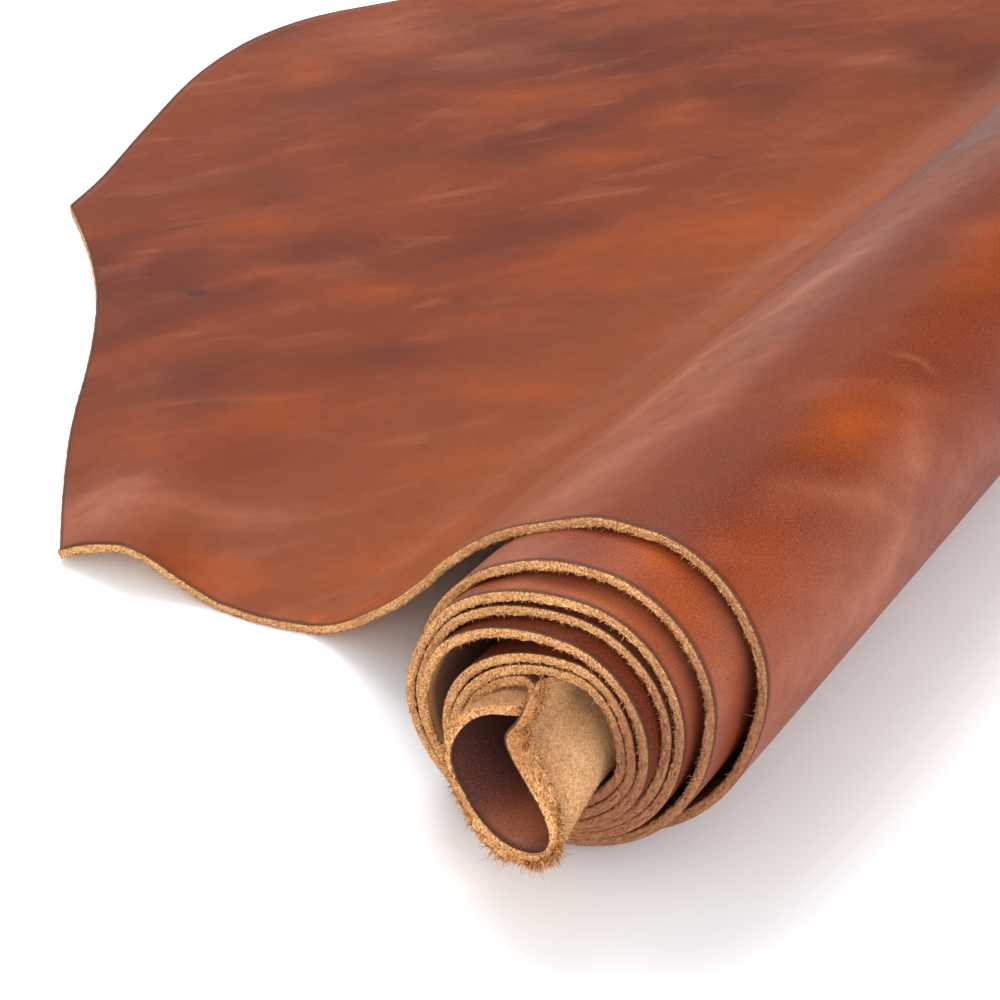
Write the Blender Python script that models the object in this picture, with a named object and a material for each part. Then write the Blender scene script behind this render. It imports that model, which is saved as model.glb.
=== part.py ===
"""A side of thick leather, rolled up on the floor with its loose end lying flat beside the roll.

The hide is one sheet, so it is one solid. Its section runs from the loose end's outline along the
floor, up over the roll, round seven turns to the middle, and there folds back on itself into one
loose loop that ends in a free lip. The smooth grain face is outside all along the turns, so it
is inside the loop. The roll's axis runs along Y, and its near end faces -Y.

The tables are in millimetres. X is measured from the middle of the flat strip that the roll rests
on, Y from the near end of the roll's top, and Z from the floor.
"""
from collections import namedtuple

import bmesh
import bpy
import numpy as np

MM = 0.001

THICKNESS = 2.8
# Least distance between the grain faces of two turns that lie on each other
TURN_PITCH = 3.15
# Path length within which a turn can't meet itself
FREE_RUN = 70.0
FLAT_STRIP_HALF = 8.0
# The origin is this far along the roll, in the middle of the flat strip
ORIGIN_Y = 420.0
FAR_EDGE_Y = 852.0
FAR_WAVE_HEIGHT = 5.0
FAR_WAVE_RUN = 150.0
# Depth over which the innermost loop narrows from its mouth to the roll's inside
MOUTH_DEPTH = 28.0
# How full the lower right quarter of a turn is: 2 is an ellipse, more is squarer
ROUND = 2.0
FULL = 2.15

STEPS_PER_QUARTER = 7
STEPS_PER_RISE_ROW = 2
STEPS_PER_CORE_ROW = 2
STEPS_PER_APRON_ROW = 1
STEPS_PER_OUTLINE_ROW = 8
SETTLE_PASSES = 3

Turn = namedtuple(
    "Turn",
    "left_x left_z top_x top_z right_x right_z bottom_x bottom_z near_left near_top near_right near_bottom",
)
# One row for each turn, from the outside in: its four extremes and the near edge's Y at each.
# The outermost turn has no left side of its own, because the loose end comes in there.
TURNS = [
    Turn(None, None, 27.5, 102.2, 66.0, 62.5, 0.0, 0.0, None, 0.0, -6.0, -13.0),
    Turn(-42.5, 35.0, 23.0, 97.8, 59.0, 62.0, -1.0, 3.2, -18.0, -19.0, -22.0, -28.0),
    Turn(-39.2, 41.0, 21.0, 91.2, 52.2, 57.0, -1.5, 6.4, -28.0, -26.5, -26.0, -29.5),
    Turn(-35.8, 42.0, 18.5, 85.8, 48.5, 55.0, -1.0, 9.6, -27.5, -26.5, -26.5, -30.5),
    Turn(-32.4, 42.0, 17.5, 80.9, 44.9, 51.0, -0.5, 12.8, -31.0, -32.0, -32.5, -32.5),
    Turn(-23.0, 37.5, 20.5, 74.3, 40.8, 47.0, 1.0, 16.0, -32.5, -31.0, -32.0, -33.0),
    Turn(-19.7, 36.5, 20.0, 71.0, 37.6, 45.0, 1.5, 19.2, -33.5, -31.5, -31.5, -32.5),
]

Core = namedtuple("Core", "x z near_y mouth_x mouth_z")
# The last half turn, the fold back, the loop and its lip. The mouth columns say how far the
# near edge stands off this section. The half turn still lies against the turns outside it.
CORE = [
    Core(-16.5, 37.5, -33.0, 0.0, 0.0),
    Core(-14.0, 48.0, -33.0, 0.0, 0.0),
    Core(-8.0, 57.0, -32.5, 0.0, 0.0),
    Core(0.0, 63.0, -32.5, 0.0, 0.0),
    Core(6.0, 65.1, -33.0, 0.0, 0.0),
    Core(9.4, 63.9, -34.0, 0.0, 0.0),
    Core(10.8, 60.7, -36.0, 0.0, 0.0),
    Core(9.4, 57.5, -39.0, 0.0, 0.0),
    Core(5.6, 56.0, -40.5, 0.0, 0.4),
    Core(-0.4, 53.8, -41.0, 0.0, 0.8),
    Core(-4.4, 50.8, -42.0, -0.8, 1.0),
    Core(-7.0, 47.4, -44.0, -1.4, 0.8),
    Core(-8.2, 43.8, -46.0, -1.8, 0.2),
    Core(-7.8, 40.2, -48.0, -1.8, -0.4),
    Core(-5.8, 37.4, -50.0, -1.0, -1.0),
    Core(-1.6, 34.8, -52.5, 0.0, -1.6),
    Core(6.0, 32.4, -56.0, 0.0, -2.2),
    Core(13.0, 31.4, -58.0, 0.5, -3.0),
    Core(18.8, 32.0, -58.5, 1.2, -4.0),
    Core(23.2, 34.0, -58.5, 2.4, -4.4),
    Core(25.8, 37.2, -58.5, 3.2, -4.0),
    Core(26.0, 41.0, -58.0, 3.2, -3.0),
    Core(24.0, 44.6, -57.0, 2.6, -2.0),
    Core(20.0, 47.6, -55.0, 1.6, -1.0),
    Core(15.4, 49.8, -52.0, 0.2, -0.6),
    Core(12.4, 52.2, -49.5, -1.2, -0.8),
    Core(11.6, 55.6, -48.0, -1.7, -0.6),
    Core(12.5, 59.6, -45.0, -1.5, -0.4),
    Core(13.5, 63.6, -41.0, -1.3, -0.4),
    Core(14.3, 67.0, -35.0, -1.1, -0.2),
]

HALF_TURN_ROWS = 4

Rise = namedtuple("Rise", "x z near_y")
# The loose end from where it lifts off the floor to the roll's top
RISE = [
    Rise(-115.0, 3.2, 21.5),
    Rise(-106.5, 6.6, 21.5),
    Rise(-93.0, 15.8, 19.5),
    Rise(-79.5, 27.6, 16.5),
    Rise(-70.0, 37.4, 14.0),
    Rise(-61.0, 47.8, 11.5),
    Rise(-51.5, 58.8, 9.0),
    Rise(-43.0, 67.6, 7.0),
    Rise(-34.5, 75.6, 5.0),
    Rise(-26.5, 82.1, 3.5),
    Rise(-18.5, 87.6, 2.0),
    Rise(-11.0, 92.0, 1.0),
    Rise(-4.0, 95.6, 0.5),
    Rise(9.0, 100.2, 0.0),
    Rise(27.5, 102.2, 0.0),
]

Apron = namedtuple("Apron", "share lift near_y")
# The part that lies on the floor: its share of the way from the outline to the rise, how far
# the near edge lifts off the floor there, and the near edge's Y
APRON_END_X = -126.0
APRON = [
    Apron(0.00, 1.8, 8.0),
    Apron(0.10, 6.0, 9.5),
    Apron(0.24, 10.4, 10.5),
    Apron(0.34, 12.6, 11.0),
    Apron(0.41, 11.6, 12.0),
    Apron(0.49, 9.0, 13.0),
    Apron(0.58, 5.4, 14.0),
    Apron(0.67, 2.3, 15.0),
    Apron(0.78, 0.0, 15.8),
    Apron(0.90, 0.0, 16.6),
    Apron(1.00, 0.0, 18.5),
]
# Distance from the near edge at which its lift has mostly faded
LIFT_FADE = 95.0

Outline = namedtuple("Outline", "y x")
# The loose end's outline on the floor, which has one sharp corner
OUTLINE = [
    Outline(9.0, -216.0),
    Outline(36.0, -240.0),
    Outline(76.0, -273.0),
    Outline(130.0, -312.0),
    Outline(173.0, -348.0),
    Outline(207.0, -385.0),
    Outline(235.0, -421.0),
    Outline(265.0, -430.0),
    Outline(327.0, -455.0),
    Outline(396.0, -481.0),
    Outline(441.0, -491.0),
    Outline(475.0, -493.0),
    Outline(515.0, -486.0),
    Outline(560.0, -464.0),
    Outline(640.0, -425.0),
    Outline(720.0, -384.0),
    Outline(790.0, -322.0),
    Outline(830.0, -262.0),
    Outline(852.0, -205.0),
]
OUTLINE_CORNER_Y = 235.0
# The outline's rows that the roll also has points at, besides its two ends and the mouth
ROLL_ROWS = [441.0]

LEATHER_COLOUR = (0.30, 0.085, 0.035, 1.0)
LEATHER_ROUGHNESS = 0.45
# Edges that turn by more than this are shaded as corners
SHARP_ANGLE = np.radians(40.0)


def clear_scene():
    for thing in list(bpy.data.objects):
        bpy.data.objects.remove(thing, do_unlink=True)


def smooth_curve(rows, steps):
    """A smooth curve through the rows, with the given number of steps between two rows."""
    rows = np.asarray(rows, float)
    ends = np.concatenate([[2 * rows[0] - rows[1]], rows, [2 * rows[-1] - rows[-2]]])
    points = []
    for a, b, c, d in zip(ends[:-3], ends[1:-2], ends[2:-1], ends[3:]):
        spans = [np.sqrt(np.linalg.norm(q - p)) for p, q in ((a, b), (b, c), (c, d))]
        t0, t1, t2, t3 = np.cumsum([0.0] + spans)
        for t in np.linspace(t1, t2, steps, endpoint=False):
            ab = (a * (t1 - t) + b * (t - t0)) / (t1 - t0)
            bc = (b * (t2 - t) + c * (t - t1)) / (t2 - t1)
            cd = (c * (t3 - t) + d * (t - t2)) / (t3 - t2)
            abc = (ab * (t2 - t) + bc * (t - t0)) / (t2 - t0)
            bcd = (bc * (t3 - t) + cd * (t - t1)) / (t3 - t1)
            points.append((abc * (t2 - t) + bcd * (t - t1)) / (t2 - t1))
    points.append(rows[-1])
    return np.array(points)


def quarter(start, end, leaves_upright, fullness, steps):
    """A quarter of an oval from start up to, but not with, end: rows of x, z and near Y."""
    x0, z0, near0 = start
    x1, z1, near1 = end
    angle = np.linspace(0.0, np.pi / 2, steps, endpoint=False)
    falling = np.cos(angle) ** (2.0 / fullness)
    growing = np.sin(angle) ** (2.0 / fullness)
    near = near0 + (near1 - near0) * angle / (np.pi / 2)
    if leaves_upright:
        return np.stack([x1 + (x0 - x1) * falling, z0 + (z1 - z0) * growing, near], 1)
    return np.stack([x0 + (x1 - x0) * growing, z1 + (z0 - z1) * falling, near], 1)


def settle(points, before):
    """The points, moved inward where they lie closer than the pitch to the turns before them."""
    starts = before[:-1, :2]
    runs = before[1:, :2] - starts
    lengths = (runs ** 2).sum(1)
    inward = np.stack([runs[:, 1], -runs[:, 0]], 1) / np.sqrt(lengths)[:, None]
    settled = points.copy()
    for row in settled:
        for _ in range(SETTLE_PASSES):
            along = np.clip(((row[:2] - starts) * runs).sum(1) / lengths, 0.0, 1.0)
            away = row[:2] - (starts + along[:, None] * runs)
            gaps = np.linalg.norm(away, axis=1)
            nearest = gaps.argmin()
            depth = gaps[nearest] * np.sign(away[nearest] @ inward[nearest])
            row[:2] += inward[nearest] * max(0.0, TURN_PITCH - depth)
    return settled


def turn_quarters(turn, following, strip_half, fullness, steps):
    """The quarters of one turn, from its left or its top round to the next turn's left."""
    left = (turn.left_x, turn.left_z, turn.near_left)
    top = (turn.top_x, turn.top_z, turn.near_top)
    right = (turn.right_x, turn.right_z, turn.near_right)
    strip_start = (turn.bottom_x + strip_half, turn.bottom_z, turn.near_bottom)
    strip_end = (turn.bottom_x - strip_half, turn.bottom_z, turn.near_bottom)
    quarters = []
    if turn.left_x is not None:
        quarters.append(quarter(left, top, True, ROUND, steps))
    quarters.append(quarter(top, right, False, ROUND, steps))
    quarters.append(quarter(right, strip_start, True, fullness, steps))
    if strip_half:
        quarters.append(np.array([strip_start]))
    quarters.append(quarter(strip_end, following, False, ROUND, steps))
    return quarters


def roll_path(turn_steps, rise_steps, core_steps):
    """The grain face's section from the rise to the lip: rows of x, z, near Y and mouth shift."""
    path = smooth_curve([(row.x, row.z, row.near_y) for row in RISE], rise_steps)[:-1]

    def add(path, points):
        lengths = np.linalg.norm(np.diff(path[:, :2], axis=0), axis=1)
        run = np.concatenate([[0.0], np.cumsum(lengths)])
        before = path[run < run[-1] - FREE_RUN]
        return np.concatenate([path, settle(points, before)])

    lefts = [(turn.left_x, turn.left_z, turn.near_left) for turn in TURNS[1:]]
    lefts.append((CORE[0].x, CORE[0].z, CORE[0].near_y))
    for number, (turn, following) in enumerate(zip(TURNS, lefts)):
        strip_half = 0.0 if number else FLAT_STRIP_HALF
        fullness = FULL if number else ROUND
        for points in turn_quarters(turn, following, strip_half, fullness, turn_steps):
            path = add(path, points)
    core = smooth_curve(CORE, core_steps)
    last_half_turn = HALF_TURN_ROWS * core_steps
    path = add(path, core[:last_half_turn, :3])
    path = np.concatenate([path, np.zeros((len(path), 2))], 1)
    return np.concatenate([path, core[last_half_turn:]])


def outline_x(y):
    """The outline's X at a Y: one smooth curve on each side of the sharp corner."""
    rows = np.array(OUTLINE, float)
    corner = int(np.argmin(np.abs(rows[:, 0] - OUTLINE_CORNER_Y)))
    near = smooth_curve(rows[:corner + 1], STEPS_PER_OUTLINE_ROW)
    far = smooth_curve(rows[corner:], STEPS_PER_OUTLINE_ROW)
    curve = np.concatenate([near, far[1:]])
    return np.interp(y, curve[:, 0], curve[:, 1])


def far_edge(run):
    """The far edge's Y, a nearly straight cut, at a run along the section."""
    return FAR_EDGE_Y + FAR_WAVE_HEIGHT * np.sin(run / FAR_WAVE_RUN)


def column_places(near_y, far_y, columns):
    """The Y of each column between the two edges: the mouth first, then the outline's rows."""
    return np.concatenate([[near_y, near_y + MOUTH_DEPTH], columns, [far_y]])


def grain_grid(columns, turn_steps, rise_steps, core_steps, apron_steps):
    """Points of the grain face: one row for each place along the section, one column for each Y."""
    apron = smooth_curve(APRON, apron_steps)
    path = roll_path(turn_steps, rise_steps, core_steps)
    lengths = np.linalg.norm(np.diff(path[:, :2], axis=0), axis=1)
    run = np.concatenate([[0.0], np.cumsum(lengths)])
    grid = []
    for share, lift, near_y in apron:
        y = column_places(near_y, far_edge(0.0), columns)
        x = outline_x(y)
        x = x + (APRON_END_X - x) * share
        z = THICKNESS + max(lift, 0.0) * np.exp(-((y - near_y) / LIFT_FADE) ** 2)
        grid.append(np.stack([x, y, z], 1))
    for (x, z, near_y, mouth_x, mouth_z), at in zip(path, run):
        y = column_places(near_y, far_edge(at), columns)
        points = np.stack([np.full(len(y), x), y, np.full(len(y), z)], 1)
        points[0] += (mouth_x, 0.0, mouth_z)
        grid.append(points)
    return np.array(grid), len(apron)


def flesh_grid(grain):
    """Points of the flesh face: the grain face's, a thickness further in at each."""
    along = np.gradient(grain[:, :, [0, 2]], axis=0)
    along /= np.linalg.norm(along, axis=2)[:, :, None]
    flesh = grain.copy()
    flesh[:, :, 0] += THICKNESS * along[:, :, 1]
    flesh[:, :, 2] -= THICKNESS * along[:, :, 0]
    return flesh


def sheet_mesh(name, grain, flesh, apron_rows, kept_columns):
    """A closed mesh between the two faces. Past the apron it has only the kept columns."""
    solid = bmesh.new()
    every_column = list(range(grain.shape[1]))
    columns = [every_column if row < apron_rows + 1 else kept_columns for row in range(len(grain))]

    def corner_points(face):
        shift = np.array([0.0, ORIGIN_Y, 0.0])
        places = (face - shift) * MM
        return [
            {column: solid.verts.new(places[row, column]) for column in columns[row]}
            for row in range(len(face))
        ]

    top, under = corner_points(grain), corner_points(flesh)
    for row in range(len(grain) - 1):
        spans = min(columns[row], columns[row + 1], key=len)
        for start, end in zip(spans[:-1], spans[1:]):
            one = [column for column in columns[row] if start <= column <= end]
            other = [column for column in columns[row + 1] if start <= column <= end]
            for points in (top, under):
                near_side = [points[row][column] for column in one]
                far_side = [points[row + 1][column] for column in reversed(other)]
                solid.faces.new(near_side + far_side)
        for edge in (0, every_column[-1]):
            solid.faces.new((top[row][edge], top[row + 1][edge], under[row + 1][edge], under[row][edge]))
    for row in (0, len(grain) - 1):
        for start, end in zip(columns[row][:-1], columns[row][1:]):
            solid.faces.new((top[row][start], top[row][end], under[row][end], under[row][start]))
    bmesh.ops.triangulate(solid, faces=solid.faces[:])
    bmesh.ops.recalc_face_normals(solid, faces=solid.faces[:])
    mesh = bpy.data.meshes.new(name)
    solid.to_mesh(mesh)
    solid.free()
    return mesh


def leather_material():
    material = bpy.data.materials.new("leather_grain")
    material.use_nodes = True
    shader = material.node_tree.nodes["Principled BSDF"]
    shader.inputs["Base Color"].default_value = LEATHER_COLOUR
    shader.inputs["Roughness"].default_value = LEATHER_ROUGHNESS
    shader.inputs["Metallic"].default_value = 0.0
    return material


def leather_side():
    """The whole hide as one solid."""
    # The outline's first two rows are nearer than the mouth's own column, and its last is the far edge
    rows = [row.y for row in OUTLINE[2:-1]]
    grain, apron_rows = grain_grid(
        rows, STEPS_PER_QUARTER, STEPS_PER_RISE_ROW, STEPS_PER_CORE_ROW, STEPS_PER_APRON_ROW
    )
    flesh = flesh_grid(grain)
    first_row_column = 2
    kept = [0, 1] + [first_row_column + rows.index(y) for y in ROLL_ROWS] + [grain.shape[1] - 1]
    mesh = sheet_mesh("leather_side", grain, flesh, apron_rows, kept)
    side = bpy.data.objects.new("leather_side", mesh)
    bpy.context.scene.collection.objects.link(side)
    mesh.materials.append(leather_material())
    mesh.shade_smooth()
    mesh.set_sharp_from_angle(angle=SHARP_ANGLE)
    return side


def main():
    clear_scene()
    leather_side()


main()
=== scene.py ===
"""Looks of the rolled leather side: the sheet itself, its cut edges, loose fibres and nap, and the studio.

The sheet has the section, the near edge and the outline of the CAD solid that it replaces, with more
points. As there, the tables are in millimetres: X is measured from the middle of the flat strip that
the roll rests on, Y from the near end of the roll's top, and Z from the floor.
"""
from collections import namedtuple

import bpy
import numpy as np
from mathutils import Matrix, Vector


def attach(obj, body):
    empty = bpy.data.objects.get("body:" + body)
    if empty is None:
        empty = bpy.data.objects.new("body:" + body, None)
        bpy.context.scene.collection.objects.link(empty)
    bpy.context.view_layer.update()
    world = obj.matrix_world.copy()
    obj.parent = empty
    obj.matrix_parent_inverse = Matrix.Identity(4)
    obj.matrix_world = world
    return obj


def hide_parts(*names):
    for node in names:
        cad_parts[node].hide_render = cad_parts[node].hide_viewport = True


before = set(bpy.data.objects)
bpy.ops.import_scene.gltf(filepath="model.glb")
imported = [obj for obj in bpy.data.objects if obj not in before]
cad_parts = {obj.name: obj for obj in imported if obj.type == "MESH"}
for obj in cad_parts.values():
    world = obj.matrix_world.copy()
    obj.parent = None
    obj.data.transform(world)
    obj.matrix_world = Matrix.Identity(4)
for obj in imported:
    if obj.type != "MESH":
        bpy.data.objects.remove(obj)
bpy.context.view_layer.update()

NODE = "leather_side"
MM = 0.001
SEED = 7

THICKNESS = 2.8
TURN_PITCH = 3.15
FREE_RUN = 70.0
FLAT_STRIP_HALF = 8.0
ORIGIN_Y = 420.0
FAR_EDGE_Y = 852.0
FAR_WAVE_HEIGHT = 5.0
FAR_WAVE_RUN = 150.0
MOUTH_DEPTH = 28.0
CURL_DEPTH = 9.0
ROUND = 2.0
FULL = 2.15
SETTLE_PASSES = 3

STEPS_PER_QUARTER = 18
STEPS_PER_RISE_ROW = 5
STEPS_PER_CORE_ROW = 6
STEPS_PER_APRON_ROW = 6
STEPS_PER_OUTLINE_ROW = 12

Turn = namedtuple(
    "Turn",
    "left_x left_z top_x top_z right_x right_z bottom_x bottom_z near_left near_top near_right near_bottom",
)
# One row for each turn, from the outside in: its four extremes and the near edge's Y at each.
# The outermost turn has no left side of its own, because the loose end comes in there.
TURNS = [
    Turn(None, None, 27.5, 102.2, 66.0, 62.5, 0.0, 0.0, None, 0.0, -6.0, -13.0),
    Turn(-42.5, 35.0, 23.0, 97.8, 59.0, 62.0, -1.0, 3.2, -18.0, -19.0, -22.0, -28.0),
    Turn(-39.2, 41.0, 21.0, 91.2, 52.2, 57.0, -1.5, 6.4, -28.0, -26.5, -26.0, -29.5),
    Turn(-35.8, 42.0, 18.5, 85.8, 48.5, 55.0, -1.0, 9.6, -27.5, -26.5, -26.5, -30.5),
    Turn(-32.4, 42.0, 17.5, 80.9, 44.9, 51.0, -0.5, 12.8, -31.0, -32.0, -32.5, -32.5),
    Turn(-23.0, 37.5, 20.5, 74.3, 40.8, 47.0, 1.0, 16.0, -32.5, -31.0, -32.0, -33.0),
    Turn(-19.7, 36.5, 20.0, 71.0, 37.6, 45.0, 1.5, 19.2, -33.5, -31.5, -31.5, -32.5),
]

Core = namedtuple("Core", "x z near_y mouth_x mouth_z skive fuzz curl")
# The last half turn, the fold back, the loop and its lip. The mouth columns say how far the
# near edge stands off this section, skive how far the flesh side is cut back there, fuzz how
# long the loose fibres are, and curl how far the very rim bends sideways.
CORE = [
    Core(-16.5, 37.5, -33.0, 0.0, 0.0, 0.0, 1.0, 0.0),
    Core(-14.0, 48.0, -33.0, 0.0, 0.0, 0.0, 1.0, 0.0),
    Core(-8.0, 57.0, -32.5, 0.0, 0.0, 0.0, 1.2, 0.0),
    Core(0.0, 63.0, -32.5, 0.0, 0.0, 0.0, 1.2, 0.0),
    Core(6.0, 65.1, -33.0, 0.0, 0.0, 0.0, 1.2, 0.0),
    Core(9.4, 63.9, -34.0, 0.0, 0.0, 0.0, 1.0, 0.0),
    Core(10.8, 60.7, -36.0, 0.0, 0.0, 0.0, 1.0, 0.0),
    Core(9.4, 57.5, -39.0, 0.0, 0.0, 0.0, 1.0, 0.0),
    Core(5.6, 56.0, -40.5, 0.0, 0.4, 0.0, 1.0, 0.0),
    Core(-0.4, 53.8, -41.0, 0.0, 0.8, 0.3, 1.0, 0.0),
    Core(-4.4, 50.8, -42.0, -0.8, 1.0, 0.5, 1.2, 0.0),
    Core(-7.0, 47.4, -44.0, -1.4, 0.8, 0.6, 1.6, 0.0),
    Core(-8.2, 43.8, -46.0, -1.8, 0.2, 0.6, 1.9, 0.0),
    Core(-7.8, 40.2, -48.0, -1.8, -0.4, 0.6, 2.1, 0.0),
    Core(-5.8, 37.4, -50.0, -1.0, -1.0, 0.2, 2.2, 0.0),
    Core(-1.6, 34.8, -52.5, 0.0, -1.6, -0.8, 2.2, 0.0),
    Core(6.0, 32.4, -56.0, 0.0, -2.2, -1.8, 2.2, 0.0),
    Core(13.0, 31.4, -58.0, 0.5, -3.0, -2.4, 2.4, 0.0),
    Core(18.8, 32.0, -58.5, 1.2, -4.0, -2.2, 3.0, 0.0),
    Core(23.2, 34.0, -58.5, 2.4, -4.4, -1.0, 3.2, 0.0),
    Core(25.8, 37.2, -58.5, 3.2, -4.0, 1.0, 2.6, 0.0),
    Core(26.0, 41.0, -58.0, 3.2, -3.0, 3.0, 1.8, 0.0),
    Core(24.0, 44.6, -57.0, 2.6, -2.0, 4.4, 1.6, 0.0),
    Core(20.0, 47.6, -55.0, 1.6, -1.0, 5.6, 1.6, 0.0),
    Core(15.4, 49.8, -52.0, 0.2, -0.6, 7.0, 2.0, 0.2),
    Core(12.4, 52.2, -49.5, -1.2, -0.8, 8.0, 2.4, 0.2),
    Core(11.6, 55.6, -48.0, -1.7, -0.6, 8.0, 2.2, -0.8),
    Core(12.5, 59.6, -45.0, -1.5, -0.4, 6.5, 1.8, -0.1),
    Core(13.5, 63.6, -41.0, -1.3, -0.4, 4.5, 1.6, -1.1),
    Core(14.3, 67.0, -35.0, -1.1, -0.2, 2.5, 1.8, -2.5),
]
HALF_TURN_ROWS = 4

Rise = namedtuple("Rise", "x z near_y")
# The loose end from where it lifts off the floor to the roll's top
RISE = [
    Rise(-115.0, 3.2, 21.5),
    Rise(-106.5, 6.6, 21.5),
    Rise(-93.0, 15.8, 19.5),
    Rise(-79.5, 27.6, 16.5),
    Rise(-70.0, 37.4, 14.0),
    Rise(-61.0, 47.8, 11.5),
    Rise(-51.5, 58.8, 9.0),
    Rise(-43.0, 67.6, 7.0),
    Rise(-34.5, 75.6, 5.0),
    Rise(-26.5, 82.1, 3.5),
    Rise(-18.5, 87.6, 2.0),
    Rise(-11.0, 92.0, 1.0),
    Rise(-4.0, 95.6, 0.5),
    Rise(9.0, 100.2, 0.0),
    Rise(27.5, 102.2, 0.0),
]

Apron = namedtuple("Apron", "share lift near_y")
# The part that lies on the floor: its share of the way from the outline to the rise, how far
# the near edge lifts off the floor there, and the near edge's Y
APRON_END_X = -126.0
APRON = [
    Apron(0.00, 1.8, 8.0),
    Apron(0.10, 6.0, 9.5),
    Apron(0.24, 10.4, 10.5),
    Apron(0.34, 12.6, 11.0),
    Apron(0.41, 11.6, 12.0),
    Apron(0.49, 9.0, 13.0),
    Apron(0.58, 5.4, 14.0),
    Apron(0.67, 2.3, 15.0),
    Apron(0.78, 0.0, 15.8),
    Apron(0.90, 0.0, 16.6),
    Apron(1.00, 0.0, 18.5),
]
LIFT_FADE = 95.0

Outline = namedtuple("Outline", "y x")
# The loose end's outline on the floor, which has one sharp corner
OUTLINE = [
    Outline(9.0, -216.0),
    Outline(36.0, -240.0),
    Outline(76.0, -273.0),
    Outline(130.0, -312.0),
    Outline(173.0, -348.0),
    Outline(207.0, -385.0),
    Outline(235.0, -421.0),
    Outline(265.0, -430.0),
    Outline(327.0, -455.0),
    Outline(396.0, -481.0),
    Outline(441.0, -491.0),
    Outline(475.0, -493.0),
    Outline(515.0, -486.0),
    Outline(560.0, -464.0),
    Outline(640.0, -425.0),
    Outline(720.0, -384.0),
    Outline(790.0, -322.0),
    Outline(830.0, -262.0),
    Outline(852.0, -205.0),
]
OUTLINE_CORNER_Y = 235.0

# Places of the sheet's columns, as distances from its near edge
EDGE_COLUMNS = [0.0, 0.8, 2.0, 4.0, 7.0]
NEAR_SPACING = 7.5
NEAR_REACH = 470.0
FAR_SPACING = 14.0
# The columns that the hidden turns keep
MOUTH_COLUMNS = [0.0, 0.8, 2.0, 4.0, 7.0, 14.5, 22.0, 29.5, 37.0, 59.5, 224.5, 464.0, 828.0]
RIM_DROP = [0.30, 0.06]
# How far the sheet's own cut faces lie behind the edge bands
RIM_INSET = 0.6
# Depth over which the flesh side makes up for its cut back rim
SKIVE_BLEND = 34.0
# The flesh face's depth is at most this share of a bend's own radius
BEND_SHARE = 0.86

# Soft ridges along the roll: path length from the roll's top, height, width, how far and over what
# length they wander, and the phase of that
Ridge = namedtuple("Ridge", "run height width wander wander_length phase")
RIDGES = [
    Ridge(-20.0, 0.55, 9.0, 7.0, 260.0, 0.4),
    Ridge(-48.0, -0.60, 10.0, 9.0, 310.0, 1.3),
    Ridge(-78.0, 0.50, 9.0, 10.0, 240.0, 2.2),
    Ridge(-104.0, -0.45, 10.0, 8.0, 280.0, 3.4),
    Ridge(-132.0, 0.50, 11.0, 12.0, 330.0, 4.4),
    Ridge(16.0, -0.45, 10.0, 8.0, 290.0, 5.1),
    Ridge(46.0, 0.50, 13.0, 12.0, 230.0, 0.9),
    Ridge(78.0, -0.40, 12.0, 10.0, 270.0, 2.9),
]


def smooth_curve(rows, steps):
    """A smooth curve through the rows, with the given number of steps between two rows."""
    rows = np.asarray(rows, float)
    ends = np.concatenate([[2 * rows[0] - rows[1]], rows, [2 * rows[-1] - rows[-2]]])
    points = []
    for a, b, c, d in zip(ends[:-3], ends[1:-2], ends[2:-1], ends[3:]):
        spans = [np.sqrt(np.linalg.norm(q - p)) for p, q in ((a, b), (b, c), (c, d))]
        t0, t1, t2, t3 = np.cumsum([0.0] + spans)
        for t in np.linspace(t1, t2, steps, endpoint=False):
            ab = (a * (t1 - t) + b * (t - t0)) / (t1 - t0)
            bc = (b * (t2 - t) + c * (t - t1)) / (t2 - t1)
            cd = (c * (t3 - t) + d * (t - t2)) / (t3 - t2)
            abc = (ab * (t2 - t) + bc * (t - t0)) / (t2 - t0)
            bcd = (bc * (t3 - t) + cd * (t - t1)) / (t3 - t1)
            points.append((abc * (t2 - t) + bcd * (t - t1)) / (t2 - t1))
    points.append(rows[-1])
    return np.array(points)


def quarter(start, end, leaves_upright, fullness, steps):
    """A quarter of an oval from start up to, but not with, end: rows of x, z and near Y."""
    x0, z0, near0 = start
    x1, z1, near1 = end
    angle = np.linspace(0.0, np.pi / 2, steps, endpoint=False)
    falling = np.cos(angle) ** (2.0 / fullness)
    growing = np.sin(angle) ** (2.0 / fullness)
    near = near0 + (near1 - near0) * angle / (np.pi / 2)
    if leaves_upright:
        return np.stack([x1 + (x0 - x1) * falling, z0 + (z1 - z0) * growing, near], 1)
    return np.stack([x0 + (x1 - x0) * growing, z1 + (z0 - z1) * falling, near], 1)


def settle(points, before):
    """The points, moved inward where they lie closer than the pitch to the turns before them."""
    starts = before[:-1, :2]
    runs = before[1:, :2] - starts
    lengths = (runs ** 2).sum(1)
    inward = np.stack([runs[:, 1], -runs[:, 0]], 1) / np.sqrt(lengths)[:, None]
    settled = points.copy()
    for row in settled:
        for _ in range(SETTLE_PASSES):
            along = np.clip(((row[:2] - starts) * runs).sum(1) / lengths, 0.0, 1.0)
            away = row[:2] - (starts + along[:, None] * runs)
            gaps = np.linalg.norm(away, axis=1)
            nearest = gaps.argmin()
            depth = gaps[nearest] * np.sign(away[nearest] @ inward[nearest])
            row[:2] += inward[nearest] * max(0.0, TURN_PITCH - depth)
    return settled


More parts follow.
